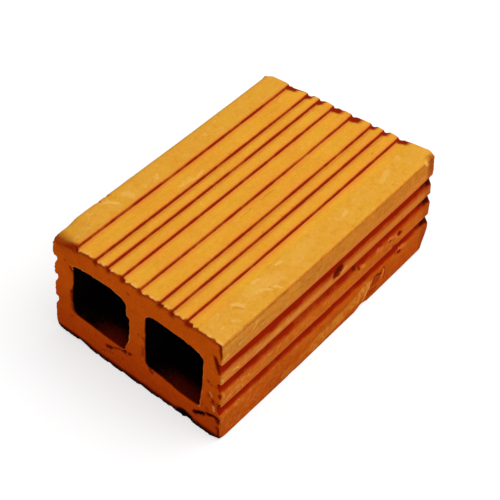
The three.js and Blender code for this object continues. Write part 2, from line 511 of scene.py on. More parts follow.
TOP_MARKS = (
    # Left land
    (((-51.4, 46.8), (-48.9, 43.9), (-47.8, 40.8)), 0.55, 0.1, "pale", 0.8),
    (((-52.6, 47.4), (-50.6, 45.8)), 1.3, 0.1, "pale", 0.35),
    (((-41.5, 43.9), (-39.6, 42.0), (-39.6, 40.4)), 1.9, 0.1, "pale", 0.45),
    (((-20.7, 41.6), (-23.0, 40.0)), 0.9, 0.1, "pale", 0.45),
    (((22.1, 39.3),), 1.1, 0.1, "pale", 0.35),
    (((16.6, 42.5),), 1.1, 0.1, "pale", 0.35),
    (((-0.8, 39.6),), 1.2, 0.1, "pale", 0.3),
    (((-67.4, 43.3),), 2.6, 0.1, "raw", 0.1),
    (((-53.0, 50.2), (-52.2, 48.8)), 0.7, 0.8, "raw", 0.8),
    (((-47.4, 50.2), (-46.2, 48.9)), 0.7, 0.8, "raw", 0.9),
    # Between the scoring
    (((-19.8, 27.8), (-15.0, 26.6), (-11.0, 26.0), (-4.5, 26.4)), 0.8, 0.1, "pale", 0.5),
    (((-17.0, 28.0), (-12.0, 27.4)), 1.2, 0.1, "pale", 0.35),
    (((-22.7, 11.8),), 1.0, 0.1, "pale", 0.35),
    (((40.3, 1.0),), 1.0, 0.1, "pale", 0.3),
    (((13.7, 25.6),), 0.6, 0.3, "raw", 0.6),
    (((59.9, -26.9),), 0.7, 0.3, "raw", 0.5),
    (((4.1, -21.1),), 0.7, 0.3, "raw", 0.5),
    (((-4.3, -20.5),), 0.6, 0.3, "raw", 0.45),
    (((-18.2, -20.8),), 0.6, 0.3, "raw", 0.45),
    (((-11.5, 24.5),), 0.8, 0.4, "hollow", 0.3),
    # Right land
    (((-46.4, -37.4), (-43.2, -38.2)), 1.1, 0.1, "pale", 0.7),
    (((-49.0, -41.8), (-45.8, -43.2), (-43.7, -45.8)), 0.95, 0.1, "pale", 0.7),
    (((-41.4, -45.4), (-40.0, -48.4)), 0.85, 0.1, "pale", 0.7),
    (((-43.2, -44.2),), 0.6, 0.2, "raw", 0.3),
    (((-62.3, -39.0), (-60.2, -40.4), (-59.6, -43.3)), 0.8, 0.1, "pale", 0.65),
    (((-63.7, -40.4), (-61.6, -41.6), (-60.8, -43.9)), 0.5, 0.3, "raw", 0.28),
    (((-70.7, -37.8),), 0.9, 0.1, "pale", 0.5),
    (((-69.1, -44.9), (-67.0, -47.6)), 0.9, 0.1, "pale", 0.4),
    (((-30.6, -38.2), (-28.0, -38.6)), 1.0, 0.1, "pale", 0.7),
    (((-26.0, -38.4),), 0.7, 0.1, "pale", 0.4),
    (((-52.0, -40.0), (-36.0, -43.0)), 3.6, 0.1, "pale", 0.25),
    (((-24.0, -44.0), (-8.0, -41.0)), 2.6, 0.1, "pale", 0.16),
    (((14.9, -42.0), (18.8, -41.2)), 1.0, 0.1, "pale", 0.5),
    (((46.0, -42.0), (54.0, -40.0)), 1.4, 0.1, "pale", 0.4),
    (((66.0, -38.0),), 2.0, 0.1, "pale", 0.35),
    (((-1.0, -6.4), (8.0, -6.4)), 0.7, 0.1, "raw", 0.3),
    (((-17.0, -6.8), (-9.0, -6.6)), 0.6, 0.1, "raw", 0.25),
    (((11.1, -40.9),), 0.9, 0.1, "pale", 0.4),
    (((27.1, -39.4),), 1.0, 0.1, "pale", 0.35),
    (((32.4, -38.3),), 0.7, 0.1, "pale", 0.4),
    (((24.5, -45.2),), 1.1, 0.1, "raw", 0.18),
    (((48.3, -47.2),), 0.8, 0.1, "raw", 0.25),
    (((12.8, -49.7),), 1.0, 0.1, "raw", 0.2),
)
MARKS = {"near": NEAR_MARKS, "right": RIGHT_MARKS, "top": TOP_MARKS}

# Surfaces whose marks are painted by the finish, which is finer than the mesh, and the axes that count there
PAINTED = {"right": (1, 0, 1), "top": (1, 1, 0)}

# How far the right corner of the far end swelled, by height
FAR_SWELL = (
    *((0, -2.0), (3, -0.6), (8, 1.3), (15, 2.0), (18, 1.8), (24, 1.0), (30, 1.3)),
    *((36, 1.1), (40, 0.4), (47, 0.1), (52, 0.5), (58, 1.4), (65, 1.4)),
)

# Scoops out of the clay: middle, radii, finish, strength
SCOOPS = (
    ((27.0, -53.0, -0.8), (5.6, 2.6, 3.2), "raw", 0.7),
    ((-31.0, -53.4, -1.2), (5.0, 2.2, 2.4), "raw", 0.5),
    ((-84.2, -51.6, 20.0), (1.6, 1.9, 4.5), "raw", 0.8),
    ((-84.0, -51.4, 30.5), (1.5, 1.7, 3.0), "raw", 0.7),
    ((-84.4, -52.4, 12.0), (1.8, 1.8, 3.0), "raw", 0.8),
    ((-83.9, -51.6, 43.0), (1.4, 1.5, 2.6), "raw", 0.7),
    ((-83.2, -51.5, 58.0), (1.2, 1.3, 3.2), "raw", 0.6),
    ((77.6, 52.4, 66.4), (5.2, 5.4, 4.4), "raw", 0.5),
    ((85.6, 53.0, 26.0), (4.0, 3.2, 7.0), "raw", 0.5),
    ((85.4, 20.0, -1.0), (3.4, 6.0, 3.6), "raw", 0.5),
)


def crack_points():
    """Points close along each mark on the near end, in Y and Z, so that the clay can open there."""
    points = []
    for line, half_width, *_ in MARKS["near"]:
        if half_width > 1.5:
            continue
        stops = [np.array(p, float) for p in line]
        if len(stops) == 1:
            turns = np.linspace(0, 2 * math.pi, 7)[:-1]
            ring = [stops[0] + half_width * 0.6 * np.array((math.cos(a), math.sin(a))) for a in turns]
            points += [stops[0], *ring]
            continue
        for start, end in zip(stops, stops[1:]):
            across = np.array((start[1] - end[1], end[0] - start[0]))
            across = across / np.linalg.norm(across) * half_width
            for place in [start, *along_segments(0.45, start, end), end]:
                points += [place, place + across, place - across]
    return np.array(points)


def lattice_noise(points, size, seed):
    """Smooth noise from -1 to 1, with features about size across."""
    places = points / size + seed * 7.31
    base = np.floor(places).astype(np.int64)
    t = places - base
    t = t * t * (3 - 2 * t)
    total = np.zeros(len(points))
    for corner in range(8):
        step = np.array([corner & 1, corner >> 1 & 1, corner >> 2 & 1])
        cell = base + step
        mixed = cell[:, 0] * 73856093 ^ cell[:, 1] * 19349663 ^ cell[:, 2] * 83492791
        mixed = (mixed ^ mixed >> 13) * 1274126177 & 0xFFFFFF
        mixed = (mixed ^ mixed >> 11) & 0xFFFF
        weight = np.prod(np.where(step, t, 1 - t), axis=1)
        total += weight * (mixed / 32767.5 - 1)
    return total


def rough(points, size, seed, octaves=3):
    """Noise with finer and weaker noise added to it."""
    total = np.zeros(len(points))
    for octave in range(octaves):
        total += lattice_noise(points, size / 2**octave, seed + octave * 3) / 2**octave
    return total / 1.6


def smooth(values, low, high):
    """An even step from 0 at low to 1 at high."""
    t = np.clip((values - low) / (high - low), 0, 1)
    return t * t * (3 - 2 * t)


def fade(values, low, high):
    """An even step from 1 at low to 0 at high."""
    return 1 - smooth(values, low, high)


def between(values, low, full, still_full, high):
    """Rises from 0 at low to 1 at full, and falls again from still_full to high."""
    return smooth(values, low, full) * fade(values, still_full, high)


def hump(values, level, reach):
    """A soft hump that is 1 at level and fades within about reach of it."""
    return np.exp(-(((values - level) / reach) ** 2))


def read_values(items, field, width=1):
    """One field of all the points or attribute values of a mesh, in rows of width."""
    values = np.zeros(len(items) * width, np.float32)
    items.foreach_get(field, values)
    values = values.astype(float)
    return values.reshape(-1, width) if width > 1 else values


def write_values(mesh, name, values):
    """Keeps a number for each point of a mesh."""
    attribute = mesh.attributes.get(name) or mesh.attributes.new(name, "FLOAT", "POINT")
    attribute.data.foreach_set("value", np.asarray(values, np.float32))


def distance_to_line(points, line):
    """How far each point is from a line of points, in the plane."""
    stops = [np.array(p, float) for p in line]
    if len(stops) == 1:
        return np.linalg.norm(points - stops[0], axis=1)
    best = np.full(len(points), 1e9)
    for start, end in zip(stops, stops[1:]):
        run = end - start
        t = np.clip((points - start) @ run / (run @ run), 0, 1)
        best = np.minimum(best, np.linalg.norm(points - start - t[:, None] * run, axis=1))
    return best


class WornClay:
    """The pressed column's points, and the ways that handling and firing change them."""

    def __init__(self, mesh, size):
        self.mesh = mesh
        self.height = size.height * 1000
        self.place = read_values(mesh.vertices, "co", 3) * 1000
        self.start = self.place.copy()
        facts = ("inset", "skin_y", "skin_z", "in_cell", "crest_highlight", "scored")
        fact = {name: read_values(mesh.attributes[name].data, "value") for name in facts}
        self.inset = fact["inset"]
        self.skin = np.stack([np.zeros(len(self.inset)), fact["skin_y"], fact["skin_z"]], 1)
        self.in_cell = fact["in_cell"] > 0.5
        self.outer = ~self.in_cell & (self.inset < 0.05)
        x, y, z = self.start.T
        self.from_near = x - (NEAR_CUT[0] + NEAR_CUT[1] * y + NEAR_CUT[2] * z)
        self.from_far = FAR_CUT[0] + FAR_CUT[1] * y + FAR_CUT[2] * z - x
        # Colour finishes, some of them painted light: painted shade with the raw breaks and in hollows,
        # painted highlights with the scuffs and rubbed clay
        self.finish = {name: np.zeros(len(x)) for name in ("gold", "raw", "hollow", "pale")}
        self.finish["rubbed"] = fact["crest_highlight"]
        self.finish["scored"] = fact["scored"]
        self.surfaces = {}

    def tint(self, name, amount, close=slice(None)):
        """Strengthens a finish, which may be painted light or shade, where amount is more than what is
        there.
        """
        values = self.finish[name]
        values[close] = np.maximum(values[close], np.clip(amount, 0, 1))

    def on(self, surface):
        """Which points lie on a surface, their two coordinates there, and the way out of the clay."""
        if surface not in self.surfaces:
            self.surfaces[surface] = self.find(surface)
        return self.surfaces[surface]

    def find(self, surface):
        """Works out what on() gives."""
        x, y, z = self.start.T
        if surface in ("near", "far"):
            depth = self.from_near if surface == "near" else self.from_far
            side = -1.0 if surface == "near" else 1.0
            return np.abs(depth) < 0.35, np.stack([y, z], 1), np.array((side, 0.0, 0.0))
        if surface in ("top", "base"):
            side = 1.0 if surface == "top" else -1.0
            chosen = self.outer & (self.skin[:, 2] * side > 0.3) & (np.abs(z - self.height / 2) > 28)
            return chosen, np.stack([x, y], 1), np.array((0.0, 0.0, side))
        side = 1.0 if surface == "left" else -1.0
        chosen = self.outer & (self.skin[:, 1] * side > 0.25) & (np.abs(y) > 45)
        return chosen, np.stack([x, z], 1), np.array((0.0, side, 0.0))

    def mark(self, surface, line, half_width, depth, finish, strength, seed):
        """Presses a mark into a surface, or raises it, with an uneven outline."""
        chosen, flat, way = self.on(surface)
        close = np.flatnonzero(distance_to_line(flat, line) < half_width * 1.3 + 0.9)
        close = close[chosen[close]]
        if len(close) == 0:
            return
        start = self.start[close]
        shake = np.stack([rough(start, 2.2, seed), rough(start, 2.2, seed + 5)], 1)
        away = distance_to_line(flat[close] + shake * min(0.45, half_width * 0.4), line)
        near = away / half_width
        bowl = np.clip(1 - near**2, 0, 1) ** 0.8
        self.place[close] -= way * (bowl * depth)[:, None]
        if surface not in PAINTED:
            self.tint(finish, fade(near, 0.75, 1.25) * strength, close)
            # Painted shade in a hollow darkens the clay round it too
            if finish == "hollow":
                self.tint("raw", fade(near, 0.9, 1.7) * strength * 1.6, close)

    def scoop(self, middle, radii, finish, strength, seed):
        """Breaks out the clay inside a rough ellipsoid, down to the ellipsoid's own surface."""
        middle = np.array(middle, float)
        radii = np.array(radii, float)
        offset = (self.place - middle) / radii
        away = np.linalg.norm(offset, axis=1) + 1e-9
        close = np.flatnonzero((away < 1.35) & ~self.in_cell)
        offset = offset[close]
        away = away[close]
        place = self.place[close]
        wave = 1 + 0.16 * rough(place, 3.0, seed) + 0.07 * rough(place, 1.0, seed + 9)
        inside = away < wave
        push = np.where(inside, wave / away, 1.0)
        self.place[close] = middle + offset * radii * push[:, None]
        depth = np.where(inside, (wave - away) * radii.min(), 0)
        self.tint(finish, smooth(depth, 0.05, 0.5) * strength, close)

    def round_ends(self, radius_near, radius_far):
        """Rounds the arris round both cut ends and round the cell mouths."""
        ends = ((self.from_near, 1.0, radius_near), (self.from_far, -1.0, radius_far))
        for depth, way, radius in ends:
            depth = np.maximum(depth, 0)
            a = radius - depth
            b = radius - self.inset
            away = np.hypot(a, b)
            turning = (a > 0) & (b > 0) & (away > radius)
            shrink = np.where(turning, radius / np.maximum(away, 1e-9), 1.0)
            self.place[:, 0] += way * np.where(turning, radius - a * shrink - depth, 0)
            inward = np.where(turning, radius - b * shrink - self.inset, 0)
            self.place -= self.skin * inward[:, None]

    def bite(self, depth, way, deep, reach, slope):
        """Chamfers the top arris of one end by the local depth, and leaves the clay raw there."""
        z = self.start[:, 2]
        facing_up = self.skin[:, 2] > 0.3
        below = np.where(self.outer & facing_up, 0.0, self.height - z)
        level = np.where(facing_up, self.inset, below)
        near_top = ~self.in_cell & (z > self.height - 6)
        over = np.where(near_top, deep - slope * np.maximum(depth, 0) - level, 0)
        over = np.maximum(over, 0) / (1 + slope**2)
        self.place[:, 0] += way * over * slope
        self.place[:, 2] -= over
        self.tint("raw", smooth(over, 0.05, reach) * 0.95)

    def write(self):
        """Holds the worn brick inside the solid's overall size, and puts it back on the mesh."""
        self.place = np.clip(self.place, CAD_LOW, CAD_HIGH)
        self.mesh.vertices.foreach_set("co", (self.place * MM).astype(np.float32).ravel())
        for name, values in self.finish.items():
            write_values(self.mesh, name, values)
        self.mesh.update()


def bites_along(bites, places, seed):
    """How deep the arris is bitten at each Y."""
    y = places[:, 1]
    deep = np.zeros(len(y))
    shift = 0.35 * lattice_noise(places, 1.3, seed)
    for middle, half, depth in bites:
        near = (y - middle + shift) / half
        deep = np.maximum(deep, depth * np.sqrt(np.clip(1 - near**2, 0, 1)))
    return deep * (1 + 0.25 * lattice_noise(places, 0.9, seed + 4))


def wear_brick(mesh, size, wear):
    """Turns the crisp pressed column into a handled, fired brick, with painted shade and highlights."""
    clay = WornClay(mesh, size)
    x, y, z = clay.start.T
    near = clay.from_near
    far = clay.from_far
    inset = clay.inset
    outer = clay.outer
    up = clay.skin[:, 2]
    tint = clay.tint
    height = clay.height
    seed = wear.seed
    # These look into the points' places, so that a change to them moves the clay.
    along, across, level = clay.place.T

    # The soft lower edge of the near end lifts a little off the board towards the left.
    by_end = fade(near, 0, 26)
    level += 1.7 * smooth(y, 24, 36) * by_end * fade(z, 0, 9)
    across -= 0.9 * smooth(y, 40, 52) * by_end * fade(z, 0, 6)

    # The foot of the near right corner is knocked round, and darkened with raw clay and painted shade.
    knocked = fade(near, 0, 5) * smooth(-y, 46.5, 51.5) * fade(z, 0, 5)
    level += 1.1 * knocked
    tint("raw", 0.8 * knocked * (inset < 3))
    tint("hollow", 0.5 * smooth(knocked, 0.4, 0.9) * (inset < 2))

    # The near left corner of the upper bed was pressed down while wet, and its side bulged.
    corner = 0.55 * smooth(-x, 65, 75) + 0.45 * smooth(-x, 74, 84)
    level -= 3.4 * corner * smooth(y, 33, 50) * smooth(z, 46, 62)
    across += 1.4 * smooth(-x, 70, 82) * smooth(y, 42, 50) * hump(z, 58.5, 5.5)

    # The far end swelled where the wire left it, most at its right corner, whose foot is worn back.
    along += 0.5 * smooth(z, 20, 60) * fade(far, 0, 26)
    by_far = fade(far, 0, 12)
    along += 0.7 * smooth(z, 50, 60) * smooth(-y, 33, 42) * by_far
    along += np.interp(z, *zip(*FAR_SWELL)) * smooth(-y, 42, 50) * by_far

    # The arrises of both ends and of the cell mouths.
    fine = rough(clay.start, 2.6, seed)
    coarse = rough(clay.start, 9.0, seed + 2)
    corner = smooth(y, 40, 45) * smooth(z, 48, 53)
    soft = wear.arris * 1000 * (1 + 0.5 * fine * (1 - corner) + 0.45 * coarse)
    right_side = smooth(-y, 46, 50)
    left_side = smooth(y, 46, 50)
    pressed = smooth(y, 34, 40) * smooth(z, 54, 60)
    near_radius = soft + 0.55 * right_side + 0.35 * left_side + 0.25 * clay.in_cell
    near_radius += pressed * (1.5 + smooth(up, 0.4, 0.8))
    far_radius = 1.3 * soft + 0.9 * right_side * (0.6 + 3 * fade(z, 3, 15)) + 0.9 * left_side
    far_radius += 0.9 * smooth(y, 44, 50) * smooth(z, 55, 62)
    far_radius += 2.4 * right_side * smooth(z, 53, 58)
    level -= 1.9 * fade(far, 0, 5) * smooth(-y, 44, 51) * smooth(z, 58, 64)
    clay.round_ends(np.clip(near_radius, 0.12, 6), np.clip(far_radius, 0.2, 6))

    # Bites along the top arris of each end, with torn lips between them that carry a painted highlight.
    places = clay.start * (0, 1, 0)
    deep = bites_along(NEAR_TOP_BITES, places, seed + 11)
    deep += 0.35 * np.clip(lattice_noise(places, 1.5, seed + 12), 0, 1)
    clay.bite(near, 1.0, deep, 0.45, 1.0)
    lip = (near < 2.4) & (up > 0.4) & outer & (z > 60)
    lip = lip * fade(near, 0.5, 1.9) * smooth(0.75 - deep, 0, 0.5) * fade(y, 35, 37)
    lip *= smooth(lattice_noise(places, 2.0, seed + 14), -0.6, -0.1)
    along -= 0.35 * lip * (near < 0.6)
    # A painted highlight on the torn lips
    tint("rubbed", lip * 0.5)
    tint("pale", lip * 0.5)
    clay.bite(far, -1.0, 0.42 * bites_along(FAR_TOP_BITES, places, seed + 21), 0.2, 0.45)

    # Broken scoring at the far end is half filled and carries painted shade; the near end has painted shade
    # under its top arris.
    sunk = np.clip(height - 0.25 - z, 0, 2) * outer * (up > 0.2) * (z > height - 2)
    level += 0.7 * sunk * fade(far, 1.5, 6)
    tint("raw", smooth(sunk, 0.1, 0.5) * fade(far, 2.2, 4.6))
    under = (near < 1.5) & (up > 0.3) & (z > 54) & (inset > 0.3)
    tint("raw", 0.55 * under * fade(inset + 0.6 * coarse + 0.4 * fine, 0.6, 2.6))
    shade_under_arris = under * (0.35 + 0.65 * smooth(lattice_noise(places, 6.0, seed + 15), -0.4, 0.4))
    at_back = outer & (up > 0.2) & (z > 60)
    at_back = at_back * fade(far + 0.9 * fine + 0.7 * coarse, 3.2, 5.2)
    for middle, width in BED_GROOVES:
        into = middle + width / 2 - y
        away = np.hypot(into - 0.3, (height - 1.6 - z) * 0.8) + 0.5 * fine
        tint("raw", 0.9 * shade_under_arris * fade(away, 0.9, 2.6))
        tint("hollow", 0.35 * shade_under_arris * fade(away, 0.5, 1.6))
        strip = between(into, -0.6, 0.0, width * 0.7, width + 1.4) * at_back
        tint("raw", strip)
        tint("hollow", 0.1 * strip)

    # The shade in the right face's scoring narrows towards the near end.
    narrow = 0.6 * fade(near, 0, 34) * (y < -45)
    clay.finish["scored"] = np.clip(clay.finish["scored"] * (1 + narrow) - narrow, 0, 1)

    # Painted shade on the rounded far right arris.
    turned = fade(far + 0.5 * fine, 5.0, 8.0) * smooth(-y, 47, 49.5) * outer
    tint("raw", turned * np.maximum(0.6 * smooth(z, 51, 55), 0.35))

    # The pressed near left corner is darkened under its arris and on top of it.
    on_corner = (up > 0.2) & (z > 53)
    wedge = fade(inset + 0.6 * coarse, 1.8, 4.2) * smooth(y, 35, 38) * (1 - 0.6 * smooth(y, 42, 47))
    tint("raw", 0.8 * wedge * on_corner * (near < 0.6) * (z > 54))
    corner_darkening = fade(near + inset + 1.4 * coarse, 0.6, 6.5) * smooth(y, 37, 44)
    tint("raw", 0.6 * corner_darkening * smooth(z, 53, 58) * on_corner)
    corner_darkening = fade(near + 1.2 * coarse, 1.2, 4.0) * smooth(y, 34.5, 37) * outer
    tint("raw", 0.8 * corner_darkening * (1 - 0.2 * smooth(y, 41, 46)) * smooth(z, 54, 58) * on_corner)
    knob = fade(near, 1.0, 7.0) * smooth(y, 46, 50) * smooth(z, 49, 54) * outer
    tint("raw", 0.5 * knob * (0.8 + 0.5 * coarse))

    # A painted contact shadow makes a dark line along the foot of the near end.
    at_foot = (near < 0.5) & ~clay.in_cell
    tint("raw", at_foot * fade(z + 0.5 * fine, 2.6, 5.0))
    tint("hollow", 0.85 * at_foot * fade(z + 0.3 * fine, 1.7, 3.5))

    # The cores tore the cells' near mouths.
    at_mouth = (np.abs(z - 34) < 21.5) & (np.abs(y) < 42) & (inset < 2)
    tear = 0.45 * rough(clay.start, 2.4, seed + 33) * fade(near, 0.3, 3)
    clay.place += clay.skin * (tear * at_mouth * (1 - inset / 2))[:, None]

    # Painted highlights on the torn rims over the cells and on their right walls, at the near mouth.
    rim_highlight = (near < 0.2) & (inset < 0.5) & (np.abs(z - 35) < 22) & (np.abs(y) < 44)
    rim_highlight &= (up < -0.35) | (clay.skin[:, 1] > 0.5)
    broken = smooth(rough(clay.start, 3.5, seed + 31), -0.25, 0.35)
    tint("rubbed", rim_highlight * (0.3 + 0.5 * broken))
    tint("pale", rim_highlight * broken * 0.35)
    stain = (near < 0.4) & (np.abs(y - 40.5) < 2.2) & (np.abs(z - 28) < 9)
    stain = stain * fade(inset + coarse, 0.4, 1.8) * broken
    tint("raw", 0.9 * stain)
    tint("hollow", 0.4 * stain * (inset < 0.9))

    # Painted shade in the cells, deepening away from their mouths, their floors last.
    inward = np.minimum(near, far)
    lit = np.where(y < 0, smooth(-y, 10, 26), smooth(-y, -32, -14))
    lit = (0.1 + 0.36 * lit) * np.where(y > 0, 1.3, 1.0) * fade(inward, 3, 14) * smooth(up, 0.3, 0.8)
    tint("hollow", clay.in_cell * smooth(inward, 0.1, 1.0) * (1 - lit))
    tint("raw", clay.in_cell * smooth(inward, 0.1, 0.8))

    # Listed marks and scoops.
    rows = [(surface, *row) for surface, marks in MARKS.items() for row in marks]
    for i, row in enumerate(rows):
        clay.mark(*row, seed + 40 + i)
    for i, row in enumerate(SCOOPS):
        clay.scoop(*row, seed + 140 + i)

    # Small pits scattered over the faces: surface, number of pits, the two ranges that they lie in, range
    # of radii, range of strengths, depth per radius, first seed.
    shake = np.random.default_rng(seed)
    spread = (
        ("near", 34, (-49, 49), (4, 62), (0.35, 0.8), (0.3, 0.8), 0.5, 200),
        ("far", 46, (-49, 49), (4, 62), (0.35, 0.8), (0.3, 0.8), 0.5, 200),
        ("right", 70, (-80, 80), (3, 62), (0.35, 0.8), (0.3, 0.8), 0.5, 200),
        ("left", 70, (-80, 80), (3, 62), (0.35, 0.8), (0.3, 0.8), 0.5, 200),
        ("base", 60, (-80, 80), (-48, 48), (0.35, 0.8), (0.3, 0.8), 0.5, 200),
        ("near", 26, (-50.3, -43.5), (13, 36), (0.4, 0.9), (0.3, 0.7), 0.4, 300),
    )
    for surface, count, *ranges, depth, first in spread:
        for i in range(count):
            a, b, radius, strength = [shake.uniform(*limits) for limits in ranges]
            clay.mark(surface, ((a, b),), radius, radius * depth, "raw", strength, seed + first + i)
    clay.write()


# ---------------------------------------------------------------- node helpers


def join(tree, value, socket):
    """Feeds a socket from a Value, a node or another socket, or sets its plain value."""
    if isinstance(value, Value):
        value = value.socket
    elif isinstance(value, bpy.types.Node):
        value = value.outputs[0]
    if isinstance(value, bpy.types.NodeSocket):
        tree.links.new(value, socket)
    elif value is not None:
        socket.default_value = (*value[:3], 1) if socket.type == "RGBA" else value


def node(tree, kind, inputs=(), **settings):
    """A new node with its settings, and with its inputs fed by name, by number or in order."""
    made = tree.nodes.new(kind)
    for name, value in settings.items():
        setattr(made, name, value)
    for key, value in inputs.items() if isinstance(inputs, dict) else enumerate(inputs):
        join(tree, value, made.inputs[key])
    return made


def result(tree, kind, inputs=(), output=0, **settings):
    """One output of a new node."""
    return Value(tree, node(tree, kind, inputs, **settings).outputs[output])


class Value:
    """A node's output; each sum or map that it is used in adds one more node to the tree."""

    def __init__(self, tree, socket):
        self.tree = tree
        self.socket = socket

    def math(self, operation, *others, clamp=False):
        """A Math node's result."""
        settings = {"operation": operation, "use_clamp": clamp}
        return result(self.tree, "ShaderNodeMath", (self, *others), **settings)

    def __add__(self, other):
        return self.math("ADD", other)

    def __sub__(self, other):
        return self.math("SUBTRACT", other)

    def __mul__(self, other):
        return self.math("MULTIPLY", other)

    def __truediv__(self, other):
        return self.math("DIVIDE", other)

    def taken_from(self, number):
        """A plain number less this value."""
        inputs = (number, self)
        return result(self.tree, "ShaderNodeMath", inputs, operation="SUBTRACT")

    def scaled(self, factor, added):
        """This value times a factor, with more added, in one node."""
        return self.math("MULTIPLY_ADD", factor, added)

    def vector(self, operation, *others):
        """A Vector Math node's result, which is a number for a distance or a product."""
        output = "Value" if operation in ("DISTANCE", "DOT_PRODUCT") else "Vector"
        inputs = (self, *others)
        return result(self.tree, "ShaderNodeVectorMath", inputs, output, operation=operation)

    def stretch(self, low, high, out_low=0.0, out_high=1.0):
        """Maps low..high onto another range with soft ends."""
        inputs = (self, low, high, out_low, out_high)
        settings = {"interpolation_type": "SMOOTHSTEP", "clamp": False}
        return result(self.tree, "ShaderNodeMapRange", inputs, **settings)

    def grey(self, low, high, dark, light):
        """A grey that runs from dark to light as this runs from low to high."""
        return combine(self.tree, *[self.stretch(low, high, dark, light)] * 3)

    def split(self):
        """The three numbers of a vector."""
        parts = node(self.tree, "ShaderNodeSeparateXYZ", [self])
        return [Value(self.tree, part) for part in parts.outputs]


def combine(tree, x, y, z):
    """A vector from three numbers."""
    return result(tree, "ShaderNodeCombineXYZ", (x, y, z))


def noise_field(place, scale, detail=2.0, roughness=0.5, seed=0.0, distortion=0.0):
    """A noise pattern from 0 to 1."""
    inputs = {"Vector": place, "W": seed, "Scale": scale, "Detail": detail}
    inputs |= {"Roughness": roughness, "Distortion": distortion}
    return result(place.tree, "ShaderNodeTexNoise", inputs, noise_dimensions="4D")


def new_tree(name, kind, inputs, output):
    """A node tree with named inputs, each with its kind, and one output; returns it and its inputs."""
    tree = bpy.data.node_groups.new(name, kind)
    for label, socket in inputs:
        tree.interface.new_socket(label, in_out="INPUT", socket_type=f"NodeSocket{socket}")
    tree.interface.new_socket(output[0], in_out="OUTPUT", socket_type=f"NodeSocket{output[1]}")
    given = node(tree, "NodeGroupInput").outputs
    return tree, {label: Value(tree, given[label]) for label, _ in inputs}


# ---------------------------------------------------------------- the pressed column


def column_tree():
    """Geometry Nodes: pushes the section along X, cuts both ends askew and lets the clay settle."""
    inputs = (
        ("Section", "Geometry"),
        ("Rings", "Int"),
        ("End Crowding", "Float"),
        ("Cell Rings", "Int"),
        ("Cell Crowding", "Float"),
        ("Near Cut", "Vector"),
        ("Far Cut", "Vector"),
        ("Half Width", "Float"),
        ("Height", "Float"),
        ("Slump", "Float"),
        ("Bow", "Float"),
        ("Ripple", "Float"),
        ("Ripple Size", "Float"),
        ("Grain", "Float"),
        ("Grain Size", "Float"),
        ("Seed", "Float"),
        ("Clay", "Material"),
    )
    name = "Pressed clay column"
    tree, given = new_tree(name, "GeometryNodeTree", inputs, ("Brick", "Geometry"))

    # The section's outlines follow a straight rail one metre long; X is then the share of the length.
    # An edge belongs to an outline if it has one face; Compare takes whole numbers at inputs 2 and 3.
    neighbours = node(tree, "GeometryNodeInputMeshEdgeNeighbors")
    settings = {"data_type": "INT", "operation": "EQUAL"}
    outline = result(tree, "FunctionNodeCompare", {2: neighbours, 3: 1}, **settings)
    kind = "GeometryNodeInputNamedAttribute"
    in_cell = result(tree, kind, {"Name": "in_cell"}, data_type="FLOAT")
    both = node(tree, "GeometryNodeJoinGeometry")
    rail = node(tree, "GeometryNodeCurvePrimitiveLine", {"End": (1, 0, 0)})
    for wall, count in ((in_cell.taken_from(1.0), "Rings"), (in_cell, "Cell Rings")):
        edges = {"Mesh": given["Section"], "Selection": outline * wall}
        profile = node(tree, "GeometryNodeMeshToCurve", edges)
        rings = node(tree, "GeometryNodeResampleCurve", {"Curve": rail, "Count": given[count]})
        upright = node(tree, "GeometryNodeSetCurveNormal", {"Curve": rings}, mode="Z_UP")
        sides = node(tree, "GeometryNodeCurveToMesh", {"Curve": upright, "Profile Curve": profile})
        join(tree, sides, both.inputs[0])

    # The section itself closes both ends.
    for share in (0.0, 1.0):
        y, z, _ = result(tree, "GeometryNodeInputPosition").split()
        stood = combine(tree, share, y * -1.0, z * -1.0)
        end = node(tree, "GeometryNodeSetPosition", {"Geometry": given["Section"], "Position": stood})
        if share == 0.0:
            end = node(tree, "GeometryNodeFlipFaces", {"Mesh": end})
        join(tree, end, both.inputs[0])
    closed = node(tree, "GeometryNodeMergeByDistance", {"Geometry": both, "Distance": 0.00001})

    # Rings crowd towards the ends, each cut leans by its slopes, and the clay settles and bows.
    share, y, z = result(tree, "GeometryNodeInputPosition").split()
    turn = (share * (2 * math.pi)).math("SINE")
    extra = given["Cell Crowding"] - given["End Crowding"]
    share = share - turn * extra.scaled(in_cell, given["End Crowding"]) / (2 * math.pi)
    level = (z / given["Height"]).taken_from(1.0)
    y = y * (given["Slump"] / given["Half Width"] * level + 1.0)
    cuts = []
    for name in ("Near Cut", "Far Cut"):
        middle, per_y, per_z = given[name].split()
        cuts.append(per_y * y + per_z * z + middle)
    x = cuts[0] + (cuts[1] - cuts[0]) * share
    arch = share * share.taken_from(1.0) * 4.0
    y = y + arch.taken_from(0.5) * given["Bow"]
    place = {"Geometry": closed, "Position": combine(tree, x, y, z)}
    settled = node(tree, "GeometryNodeSetPosition", place)

    # Uneven clay: broad ripples and a finer grain, both along the surface normal.
    where = result(tree, "GeometryNodeInputPosition")
    heights = []
    for size, height, shift in (("Ripple Size", "Ripple", 0.0), ("Grain Size", "Grain", 7.0)):
        across = result(tree, "ShaderNodeMath", (1.0, given[size]), operation="DIVIDE")
        field = noise_field(where, across, seed=given["Seed"] + shift)
        heights.append((field - 0.5) * given[height])
    normal = result(tree, "GeometryNodeInputNormal")
    push = normal.vector("SCALE", None, None, heights[0] + heights[1])
    uneven = node(tree, "GeometryNodeSetPosition", {"Geometry": settled, "Offset": push})

    shaded = node(tree, "GeometryNodeSetShadeSmooth", {"Geometry": uneven})
    real = node(tree, "GeometryNodeRealizeInstances", {"Geometry": shaded})
    finish = node(tree, "GeometryNodeSetMaterial", {"Geometry": real, "Material": given["Clay"]})
    node(tree, "NodeGroupOutput", [finish])
    return tree


